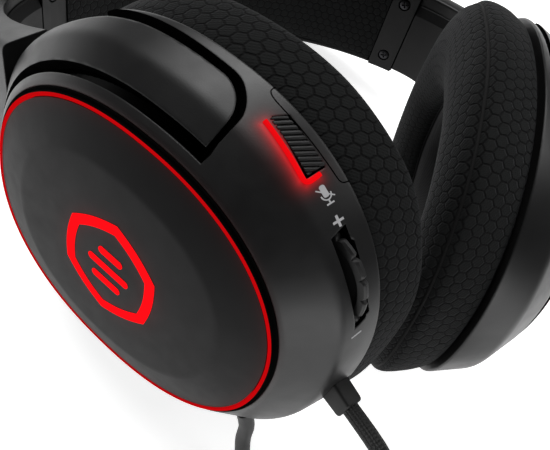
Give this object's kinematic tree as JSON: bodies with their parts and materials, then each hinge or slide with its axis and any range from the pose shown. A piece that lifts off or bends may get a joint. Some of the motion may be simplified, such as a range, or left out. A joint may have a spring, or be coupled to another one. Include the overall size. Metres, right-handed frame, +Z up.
{
  "type": "gaming headset",
  "caption": "Over-ear headset with padded headband, yoke-mounted round ear cups with light rings, a boom microphone and a braided cable, lying on its front edge.",
  "frame": {"origin": "centre of the worn part's footprint on the table, under the headset without its cable, boom included, at table height", "axes": "+X towards the wearer's right, +Y from the cups to the headband's crown, +Z up from the table; the wearer's front faces down"},
  "size_m": [0.1822, 0.2732, 0.1045],
  "materials": {
    "matte_shell": "fine matte charcoal, soft touch",
    "matte_plate": "smooth satin charcoal",
    "dark_plastic": "matte black",
    "red_light": "lit red light guide",
    "mesh_fabric": "black sports mesh over foam",
    "speaker_cloth": "thin open cloth",
    "steel": "plain steel, dark plated on the screws",
    "board": "circuit board",
    "rubber": "matte moulded rubber",
    "braid": "black braided sleeve",
    "foam": "open-cell foam"
  },
  "bodies": {
    "cup_left": {"outer_shell_left": "matte_shell", "outer_plate_left": "matte_plate", "light_ring_left": "red_light", "emblem_lens_left": "red_light", "led_board_left": "board", "magnet_left": "steel", "speaker_left": "dark_plastic", "speaker_cloth_left": "speaker_cloth", "baffle_left": "dark_plastic", "ear_cushion_left": "mesh_fabric", "volume_dial_axle": "steel", "mute_light": "red_light", "mute_switch": "steel", "control_board": "board", "mic_socket": "rubber", "strain_relief": "rubber", "cable": "braid", "cable_coil": "braid", "cable_tail": "braid", "cable_tie": "rubber", "plug_strain_relief": "rubber", "plug_body": "rubber", "plug_sleeve": "steel", "plug_tongue": "dark_plastic"},
    "arm_left": {"fork_arm_left": "matte_shell", "arm_cover_left": "dark_plastic", "slider_strip_left": "steel", "pivot_pin_left_front": "steel", "pivot_pin_left_rear": "steel"},
    "headband": {"headband_shell": "matte_shell", "headband_pad": "mesh_fabric", "spring_band": "steel", "end_bracket_left": "dark_plastic", "end_bracket_right": "dark_plastic", "bracket_screw_left_front": "steel", "bracket_screw_left_rear": "steel", "bracket_screw_right_front": "steel", "bracket_screw_right_rear": "steel"},
    "arm_right": {"fork_arm_right": "matte_shell", "arm_cover_right": "dark_plastic", "slider_strip_right": "steel", "pivot_pin_right_front": "steel", "pivot_pin_right_rear": "steel"},
    "cup_right": {"outer_shell_right": "matte_shell", "outer_plate_right": "matte_plate", "light_ring_right": "red_light", "emblem_lens_right": "red_light", "led_board_right": "board", "magnet_right": "steel", "speaker_right": "dark_plastic", "speaker_cloth_right": "speaker_cloth", "baffle_right": "dark_plastic", "ear_cushion_right": "mesh_fabric"},
    "volume_wheel": {"volume_wheel": "dark_plastic"},
    "mute_button": {"mute_button": "dark_plastic"},
    "mic_boom": {"mic_boom": "rubber", "mic_capsule": "dark_plastic", "mic_windscreen": "foam"}
  },
  "joints": [
    {"name": "cup_tilt_left", "type": "hinge", "parent": "cup_left", "child": "arm_left", "pos_m": [-0.04881, 0.01068, 0.05676], "axis": [0.0872, 0.3293, 0.9402], "range_deg": [-1, 3.8]},
    {"name": "slider_left", "type": "slide", "parent": "arm_left", "child": "headband", "axis": [0.7456, 0.6289, -0.2202], "range_m": [0, 0.025]},
    {"name": "slider_right", "type": "slide", "parent": "headband", "child": "arm_right", "axis": [0.7456, -0.6289, 0.2202], "range_m": [0, 0.025]},
    {"name": "cup_tilt_right", "type": "hinge", "parent": "arm_right", "child": "cup_right", "pos_m": [0.04881, 0.01068, 0.05676], "axis": [-0.0872, 0.3293, 0.9402], "range_deg": [-1, 3.8]},
    {"name": "volume_wheel_turn", "type": "hinge", "parent": "cup_left", "child": "volume_wheel", "pos_m": [-0.02838, -0.00755, 0.08412], "axis": [-0.8476, -0.4714, 0.2437], "range_deg": [-140, 140]},
    {"name": "mute_press", "type": "slide", "parent": "cup_left", "child": "mute_button", "axis": [0.1944, 0.1603, -0.9677], "range_m": [0, 0.0008], "stiffness_N_per_m": 1200, "springref_m": -0.0004},
    {"name": "boom_swing", "type": "hinge", "parent": "cup_left", "child": "mic_boom", "pos_m": [-0.0314, -0.03205, 0.03076], "axis": [-0.8476, -0.4714, 0.2437], "range_deg": [0, 60]}
  ]
}
